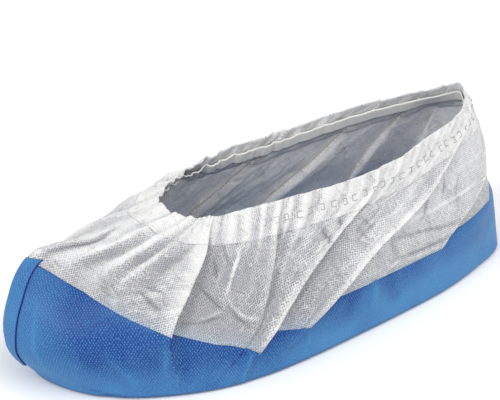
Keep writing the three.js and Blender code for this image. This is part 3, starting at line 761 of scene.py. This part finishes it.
def make_hem():
    """The doubled band: an outer leaf, a turn at the rim, and an inner leaf."""
    drops = np.linspace(HEM_WIDTH, HEM_TOP, HEM_ROWS + 1)
    levels = np.array([columns_below_rim(drop) for drop in drops])
    data = sheet(COLS, RIM_TURN, levels)
    middle = round_edges(data.point, 2)
    normal = data.normal
    outer = middle + normal * LEAF_OUT
    inner = middle - normal * LEAF_IN
    radius = (LEAF_OUT + LEAF_IN) / 2
    centre = (outer[-1] + inner[-1]) / 2
    up = unit(middle[-1] - middle[-2])
    bends = np.radians(HEM_BENDS)
    turn = [centre + radius * (normal[-1] * math.cos(bend) + up * math.sin(bend)) for bend in bends]
    grid = np.concatenate([outer, turn, inner[::-1]])
    upward = smoothstep(HEM_WIDTH + 1, HEM_WIDTH - 7, data.drop)
    # Painted light on the gathers' ridges; the hem's tone is lifted where the panel's tone is low.
    tone = cloth_tone(data) + 0.16 * data.gather + 0.12 * upward + 0.4 * (1 - PANEL_TONE)
    tone = np.clip(np.concatenate([tone, tone[-len(turn):], tone[::-1]]), 0, 1)
    hem = shell("hem_band", grid, LEAF_THICK, weave=plane_weave(grid), tone=tone)
    return hem, outer, data.rib, drops


def make_film():
    """The film tray: the sole, its rounded edge, and the walls up to behind the cloth's lower edge."""
    top = LINE + FILM_UNDER_CLOTH / level_span(column_rib(COLS, LINE), LINE)
    level = mix(TUCK_LEVEL, top, np.linspace(0, 1, FILM_ROWS + 1)[:, None])
    data = sheet(COLS, RIM_TURN, level)
    grid = round_edges(data.point, 2)
    grid, crease_light_shade = pressed(grid, grid_normals(grid), FILM_CREASES)
    behind = smoothstep(LINE - 0.04, LINE + 0.01, level)
    grid = grid - data.normal * (FILM_INSET * behind)[..., None]

    foot = grid[0]
    outward = unit(smooth_frame(column_rib(COLS, 0), 0.05)[0] * (1, 1, 0))
    rings = []
    for bend in np.radians(SOLE_BENDS):
        ring = foot - outward * SOLE_TUCK * (1 - math.sin(bend))
        ring[:, 2] = FILM_THICK / 2 + (foot[:, 2] - FILM_THICK / 2) * (1 - math.cos(bend))
        rings.append(ring)
    flat = rings[0]
    middle = np.stack([midline_x(flat[:, 1]), np.clip(flat[:, 1], *SOLE_ENDS), flat[:, 2]], axis=-1)
    sole = np.array([mix(middle, flat, inset) for inset in SOLE_INSETS] + rings)
    weave = np.concatenate([sole * (1, 1, 0), film_weave(data.rib, level)])
    tone = np.concatenate([np.full(sole.shape[:2], 0.5), film_tone(data) + crease_light_shade])
    grid = np.concatenate([sole, grid])
    return shell("film_tray", grid, FILM_THICK, caps=True, inner_tone=0.95,
                 weave=weave, tone=np.clip(tone, 0, 1))


ARC_LEVEL = 1.3
ARCS = run_lengths(smooth_point(TABLE_RIBS, ARC_LEVEL))


def film_weave(rib, level):
    """Flat film coordinates in mm: round the wall from the toe line, both ways, and up it."""
    turn = rib % RIB_COUNT
    arc = np.interp(turn, TABLE_RIBS, ARCS)
    arc = np.where(turn > HEEL_RIB + 1e-6, arc - ARCS[-1], arc)
    return np.stack([arc, rise_at(rib, level), 0 * arc], axis=-1)


# How light the film is drawn round the wall, as painted light where it faces the lamps and painted shade
# beneath the pleats: rib, tone.
FILM_TONES = (
    (0, 0.68), (0.6, 0.56), (1.4, 0.08), (2.4, 0.04), (3, -0.14),
    (4, -0.06), (5.5, 0.3), (8, 0.5), (11, 0.6), (22, 0.5),
)


def film_tone(data):
    """Painted shade: deeper beneath the pleats and in a band below the cloth's edge. Painted light: lighter
    low on the wall, as light thrown up from the floor, and on the folds' ridges.
    """
    rise = rise_at(data.rib, data.level)
    # Painted light thrown up from the floor: lighter low on the wall.
    low = smoothstep(32, 5, rise)
    # Painted shadow in a band below the cloth's edge.
    cloth_edge_shadow = np.exp(-np.maximum(rise_at(data.rib, LINE) - rise, 0) / 7)
    base = np.interp(data.rib % RIB_COUNT, *zip(*FILM_TONES))
    # Painted light on the folds' and wrinkles' ridges, and painted shade beneath the lapped pleats.
    folded = base + 0.03 * data.height + 0.15 * data.wrinkle - 0.35 * data.under_shade
    return folded + 0.72 * low - 0.2 * cloth_edge_shadow


def make_elastic():
    """The flat elastic band sewn inside the hem, against the hollows of the gathers."""
    rib = np.linspace(0, RIB_COUNT, ELASTIC_COLUMNS + 1)[:-1]
    drops = np.linspace(ELASTIC_DROP + ELASTIC_WIDTH, ELASTIC_DROP, ELASTIC_ROWS)
    levels = np.array([below_rim(lambda level: rib, len(rib), drop) for drop in drops])
    normal = smooth_frame(rib, levels)[0]
    plain = COLS.fold < 0
    turn = np.interp(rib, column_rib(COLS, RIM_LEVEL)[plain], RIM_TURN[plain])
    out = gathers(turn, drops[:, None]) - ELASTIC_DEPTH
    grid = smooth_point(rib, levels) + normal * out[..., None]
    arc = run_lengths(grid)
    weave = np.stack([arc, drops[:, None] + 0 * arc, 0 * arc], axis=-1)
    return shell("elastic_band", grid, ELASTIC_THICK, weave=weave)


# Both seam flaps: level, then how wide the flap is there, mm.
FLAP_WIDTHS = ((0.42, 4.0), (0.54, 6.0), (1.0, 9.0), (1.5, 9.2), (2.1, 7.0))
FLAP_SLANT = 0.08    # how much higher its top is at the free edge, in levels


def make_flap(name, crown, top_level):
    """A folded seam flap on the film, from its crown line to a free edge. A bead runs along its fold and
    another down its middle."""
    rows, size = 56, 14
    left = FOLD_NAMES.index(crown)
    level = np.linspace(0.42, top_level, rows)[:, None]
    level = level + FLAP_SLANT * smoothstep(top_level - 0.6, top_level, level) * np.linspace(0, 1, size)
    start = fold_rib(left, level[:, :1])
    fine = start + np.linspace(0, 1.2, 121)
    length = run_lengths(smooth_point(fine, level[:, :1]))
    width = np.interp(level[:, :1], *zip(*FLAP_WIDTHS))
    across = np.linspace(0, 1, size) * width
    rib = np.array([np.interp(*row) for row in zip(across, length, fine)])
    share = (rib - start) / (fold_rib(left + 1, level) - start)
    plain = np.zeros(share.shape, int)
    cols = SimpleNamespace(left=plain + left, share=share, fold=plain - 1, turn=0.0 * share)
    turn = np.interp(left + share, COLS.left + COLS.share, RIM_TURN)
    data = sheet(cols, turn, level)
    lift = 0.5 + 0.5 * bell(across - 0.8, 1.2) + 0.35 * bell(across - 0.45 * width, 1.0)
    grid = data.point + data.normal * lift[..., None]
    weave = film_weave(rib, data.level) + np.array([0.7, 0.4, 0])
    edge = np.broadcast_to(width - across, share.shape)
    # Painted light on the wrinkles' ridges and painted shade in their hollows.
    tone = np.clip(0.72 + 0.12 * data.wrinkle, 0, 1)
    return shell(name, grid, SEAM_THICK, closed=False, weave=weave, tone=tone, edge=edge)


def make_stitches(outer, ribs, drops):
    """The thread that holds the elastic: a row of open stitches on the hem's outer leaf, turned either way.
    They sink into the cloth towards the toe, where the gathers are tightest."""
    rng = np.random.default_rng(5)
    curve = bpy.data.curves.new("hem_stitches", "CURVE")
    curve.dimensions = "3D"
    curve.bevel_depth = THREAD / 2 * MM
    curve.bevel_resolution = 1
    sunk = smoothstep(0.45, 0.85, np.cos(math.tau * RIM_TURN))
    outside = outer + grid_normals(outer) * (LEAF_THICK / 2 + THREAD * mix(0.2, -0.55, sunk))[:, None]
    steps = np.linspace(0, 3, 13)
    plain = np.flatnonzero(COLS.fold < 0)
    for stitch in range(int(RIM_LENGTH / STITCH_PITCH)):
        centre = stitch * STITCH_PITCH + rng.uniform(-0.8, 0.8)
        side = rng.choice((-0.5, 0.5)) * STITCH_DASH * rng.uniform(0.7, 1.1)
        along = side * np.interp(steps, range(4), (1, -1, -1, 1))
        drop = np.interp(steps, range(4), np.repeat(STITCH_DROPS, 2)) + rng.uniform(-0.5, 0.5)
        rib = np.interp((centre + along) / RIM_LENGTH % 1, RIM_TURN[plain], ribs[-1, plain])
        place = np.interp(-drop, -drops, np.arange(len(drops)))
        row = np.floor(place).astype(int)
        low, high = (
            np.array([
                [np.interp(spot, ribs[i, plain], outside[i, plain, k]) for k in range(3)]
                for spot, i in zip(rib, rows)
            ])
            for rows in (row, row + 1)
        )
        line = curve.splines.new("POLY")
        line.points.add(len(steps) - 1)
        for spot, point in zip(line.points, (mix(low, high, (place - row)[:, None]) + FORM_SHIFT) * MM):
            spot.co = (*point, 1)
    return linked("hem_stitches", curve)


# ---- materials
class Graph:
    """A short way to build a node material."""

    def __init__(self, name):
        self.material = bpy.data.materials.new(name)
        self.material.use_nodes = True
        self.tree = self.material.node_tree
        self.shader = self.tree.nodes["Principled BSDF"]

    def put(self, value, socket):
        if isinstance(value, bpy.types.NodeSocket):
            self.tree.links.new(value, socket)
        else:
            socket.default_value = (*value, 1) if socket.type == "RGBA" else value

    def node(self, kind, inputs=None, out=0, **settings):
        """A new node's output."""
        made = self.tree.nodes.new(kind)
        for key, value in settings.items():
            setattr(made, key, value)
        for key, value in (inputs or {}).items():
            self.put(value, made.inputs[key])
        return made.outputs[out]

    def value(self, name):
        return self.node("ShaderNodeAttribute", out="Fac", attribute_name=name)

    def vector(self, name):
        return self.node("ShaderNodeAttribute", out="Vector", attribute_name=name)

    def calc(self, operation, a, b=0.0, clamp=False):
        return self.node("ShaderNodeMath", {0: a, 1: b}, operation=operation, use_clamp=clamp)

    plus = partialmethod(calc, "ADD")
    minus = partialmethod(calc, "SUBTRACT")
    times = partialmethod(calc, "MULTIPLY")

    def mapped(self, vector, scale, turn=0.0):
        inputs = {"Vector": vector, "Scale": scale, "Rotation": (0.0, 0.0, turn)}
        return self.node("ShaderNodeMapping", inputs)

    def noise(self, vector, scale, detail=2.0, rough=0.5):
        inputs = {"Vector": vector, "Scale": scale, "Detail": detail, "Roughness": rough}
        return self.node("ShaderNodeTexNoise", inputs, "Fac")

    def ramp(self, value, low, high, start=0.0, stop=1.0):
        inputs = {"Value": value, "From Min": low, "From Max": high, "To Min": start, "To Max": stop}
        return self.node("ShaderNodeMapRange", inputs, interpolation_type="SMOOTHSTEP")

    def blend(self, share, a, b, mode="MIX"):
        """Two colours mixed, by a Mix node's colour sockets: 6 and 7 in, and 2 out."""
        return self.node("ShaderNodeMix", {0: share, 6: a, 7: b}, 2, data_type="RGBA", blend_type=mode)

    def shaded(self, colour, share):
        """The colour, brighter or darker by the share."""
        grey = self.node("ShaderNodeCombineColor", {0: share, 1: share, 2: share})
        return self.blend(1.0, colour, grey, "MULTIPLY")

    def wave(self, vector, scale, direction):
        inputs = {"Vector": self.mapped(vector, scale), "Scale": 1.0}
        return self.node("ShaderNodeTexWave", inputs, "Fac", bands_direction=direction)

    def dots(self, vector, pitch, low, high):
        """A staggered lattice of small dots, not quite regular: 1 on a dot and 0 between."""
        turned = self.mapped(vector, (1 / pitch, 0.62 / pitch, 1.0), math.pi / 4)
        inputs = {"Vector": turned, "Scale": 1.0, "Randomness": 0.3}
        away = self.node("ShaderNodeTexVoronoi", inputs, "Distance", voronoi_dimensions="2D")
        return self.ramp(away, low, high, 1.0, 0.0)

    def lines(self, vector, scale, width, seed):
        """Fine wandering lines, as creases make: 1 on a line and 0 between."""
        moved = self.node("ShaderNodeMapping", {"Vector": vector, "Location": (seed, seed, 0.0)})
        field = self.noise(moved, scale, 2.0, 0.6)
        away = self.calc("ABSOLUTE", self.minus(field, 0.5))
        return self.ramp(away, 0.0, width, 1.0, 0.0)

    def bump(self, height, strength=0.6, distance=0.00025):
        """Fine relief. `distance` is its full height, in metres."""
        inputs = {"Height": height, "Strength": strength, "Distance": distance}
        self.put(self.node("ShaderNodeBump", inputs), self.shader.inputs["Normal"])

    def finish(self, colour, rough, through=0.0, **values):
        """Sets the surface. `through` is the share of light that passes, as in thin cloth or film."""
        self.put(colour, self.shader.inputs["Base Color"])
        self.put(rough, self.shader.inputs["Roughness"])
        for key, value in values.items():
            self.shader.inputs[key.replace("_", " ")].default_value = value
        if through:
            glow = self.node("ShaderNodeBsdfTranslucent", {"Color": colour})
            surface = self.node("ShaderNodeMixShader", {0: through, 1: self.shader.outputs[0], 2: glow})
            self.put(surface, self.tree.nodes["Material Output"].inputs["Surface"])
        return self.material


# Fine crease lines in the cloth, painted light on raised ones and painted shade on sunken ones: how they are
# stretched and turned, seed, and patches.
LINES = (((1.6, 0.6, 1.0), 0.7, 3.0, (0.4, 0.55)), ((0.6, 1.6, 1.0), 0.5, 40.0, (0.6, 0.45)))


def nonwoven(name):
    """Spunbond cloth: fibres, fine creases with painted light and shade on them, and bond points that look
    darker where the cloth is single. The mesh's tone brings painted light and shade too.
    """
    g = Graph(name)
    weave, tone = g.vector("weave"), g.value("tone")
    dots = g.dots(weave, BOND_PITCH, 0.16, 0.52)
    fibre = g.noise(g.mapped(weave, (2.6, 0.7, 1.0), 0.5), 1.0, 3.0, 0.7)
    cross = g.noise(g.mapped(weave, (0.8, 3.0, 1.0), -0.4), 1.0, 3.0, 0.7)
    cloud = g.noise(weave, 0.12, 3.0, 0.6)
    speck = g.noise(weave, 0.6, 1.0, 0.5)
    patch = g.noise(weave, 0.07, 2.0)
    lit_crease_lines, shaded_crease_lines = (
        g.times(g.lines(g.mapped(weave, stretch, turn), 0.1, 0.022, seed), g.ramp(patch, *part))
        for stretch, turn, seed, part in LINES
    )
    lit = g.plus(tone, g.times(g.minus(cloud, 0.5), 0.5))
    # Painted light on the raised crease lines and painted shade on the sunken ones.
    lit = g.plus(lit, g.times(lit_crease_lines, 0.32))
    lit = g.minus(lit, g.times(shaded_crease_lines, 0.3), clamp=True)
    base = g.blend(lit, CLOTH_GREY, CLOTH_WHITE)
    # Painted crease shade, where the tone falls below 0 on cloth that is grey already.
    base = g.blend(g.times(tone, -1.0, clamp=True), base, CLOTH_CREASE_SHADE)
    warm = g.ramp(g.noise(weave, 0.2, 2.0), 0.45, 0.7)
    base = g.blend(warm, base, g.blend(1.0, base, CLOTH_WARM, "MULTIPLY"))
    base = g.blend(g.times(g.value("film"), 0.55), base, CLOTH_ON_FILM)
    clear = g.times(g.ramp(speck, 0.3, 0.7, 0.6, 1.0), g.ramp(patch, 0.35, 0.65, 0.5, 1.0))
    depth = g.times(g.ramp(lit, 0.3, 1.0, 1.05, 0.18), clear)
    fibres = g.minus(g.plus(fibre, cross), 1.0)
    shade = g.plus(g.times(depth, g.minus(0.36, dots)), 1.0)
    shade = g.plus(shade, g.times(fibres, g.ramp(lit, 0.2, 1.0, 0.6, 0.25)))
    relief = g.times(g.minus(lit_crease_lines, shaded_crease_lines), 1.2)
    g.bump(g.plus(g.times(dots, -0.5), g.plus(fibres, relief)))
    return g.finish(g.shaded(base, shade), 0.85, through=0.35, Specular_IOR_Level=0.25, Sheen_Weight=0.15)


def coated_film(name, seam=False):
    """Blue plastic film with a lattice of small raised dots drawn lighter, as painted highlights, and deeper
    in colour in the folds' troughs, as painted shade from the tone.
    """
    g = Graph(name)
    weave, tone = g.vector("weave"), g.value("tone")
    dots = g.dots(weave, FILM_PITCH, 0.12, 0.42)
    cloud = g.noise(weave, 0.03, 3.0, 0.55)
    speck = g.noise(weave, 0.5, 2.0, 0.6)
    lit = g.plus(tone, g.times(g.minus(cloud, 0.5), 1.2), clamp=True)
    raised = g.times(dots, g.ramp(speck, 0.3, 0.7, 0.3, 1.0))
    grain = g.ramp(g.noise(weave, 1.3, 3.0, 0.7), 0.3, 0.7, 0.8, 1.16)
    base = g.shaded(g.blend(lit, FILM_DEEP, FILM_LIGHT), grain)
    # Painted highlights on the raised dots.
    colour = g.blend(g.times(raised, 0.75), base, FILM_DOT_HIGHLIGHT)
    if seam:
        # A painted shadow along the flap's free edge.
        colour = g.blend(g.ramp(g.value("edge"), 0.9, 0.5), colour, FILM_EDGE_SHADOW)
    g.bump(g.plus(raised, g.times(g.noise(weave, 2.5, 2.0), 0.3)))
    rough = g.ramp(speck, 0.2, 0.8, 0.36, 0.52)
    return g.finish(colour, rough, through=0.2, Specular_IOR_Level=0.28)


def elastic_finish():
    """Knitted elastic: fine ribs along the band and short cross threads, with painted shade in the low parts
    of the relief and painted light on the high parts.
    """
    g = Graph("elastic")
    weave = g.vector("weave")
    ribs = g.wave(weave, (0.0, 0.35, 0.0), "Y")
    threads = g.wave(weave, (0.3, 0.0, 0.0), "X")
    relief = g.plus(ribs, g.times(threads, 0.6))
    g.bump(relief, 0.5, 0.0003)
    return g.finish(g.blend(g.ramp(relief, 0.2, 1.4), ELASTIC_SHADED, ELASTIC_LIT), 0.8)


def thread_finish():
    # The thread's grey is painted shadow of the stitches' dips, varied along its twist.
    g = Graph("thread")
    twist = g.noise(g.node("ShaderNodeTexCoord", out="Object"), 3000.0)
    return g.finish(g.blend(twist, THREAD_SHADOW_DARK, THREAD_SHADOW_LIGHT), 0.8)


# ---- the pieces
upper = make_upper()
film = make_film()
hem, hem_outer, hem_ribs, hem_drops = make_hem()
elastic = make_elastic()
stitches = make_stitches(hem_outer, hem_ribs, hem_drops)
toe_flap = make_flap("toe_flap", "toe_crown", 2.04)
heel_flap = make_flap("heel_flap", "heel_crown", 1.62)

cloth_finish = nonwoven("nonwoven")
flap_finish = coated_film("seam_film", seam=True)
PIECES = (
    # piece, its CAD node, its slot, its material
    (upper, "upper", "nonwoven", cloth_finish),
    (film, "sole_film", "film", coated_film("film")),
    (hem, "hem", "hem", cloth_finish),
    (elastic, "elastic", "elastic", elastic_finish()),
    (stitches, None, "hem", thread_finish()),
    (toe_flap, "toe_seam", "seam_film", flap_finish),
    (heel_flap, "heel_seam", "seam_film", flap_finish),
)
ROOT = list(frame["bodies"])[0]
for piece, node, slot, finish in PIECES:
    piece.data.materials.append(finish)
    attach(piece, ROOT)
    if node:
        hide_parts(node)


# ---- stage
FLOOR_HALF = 6.0        # half the floor's side, metres
FLOOR_DROP = 0.0004     # how far it lies below the sole, metres
floor_mesh = bpy.data.meshes.new("floor")
corners = [(x * FLOOR_HALF, y * FLOOR_HALF, 0) for x, y in ((-1, -1), (1, -1), (1, 1), (-1, 1))]
floor_mesh.from_pydata(corners, [], [(0, 1, 2, 3)])
floor_mesh.materials.append(Graph("floor").finish(FLOOR_WHITE, 0.9))
floor = linked("floor", floor_mesh)
floor.location.z = -FLOOR_DROP

world = bpy.data.worlds.new("studio")
bpy.context.scene.world = world
world.use_nodes = True
background = world.node_tree.nodes["Background"].inputs
background["Color"].default_value = (1, 1, 1, 1)
background["Strength"].default_value = 0.72
# Two soft suns: name, azimuth, elevation, and the angle that each fills in the sky, in degrees.
for name, azimuth, elevation, softness in (("key", 20, 38, 25), ("fill", 112, 48, 60)):
    sun = bpy.data.lights.new(name, "SUN")
    sun.energy = 1.3
    sun.angle = math.radians(softness)
    aimed(linked(name, sun), azimuth, elevation)
bpy.context.scene.view_settings.view_transform = "Standard"
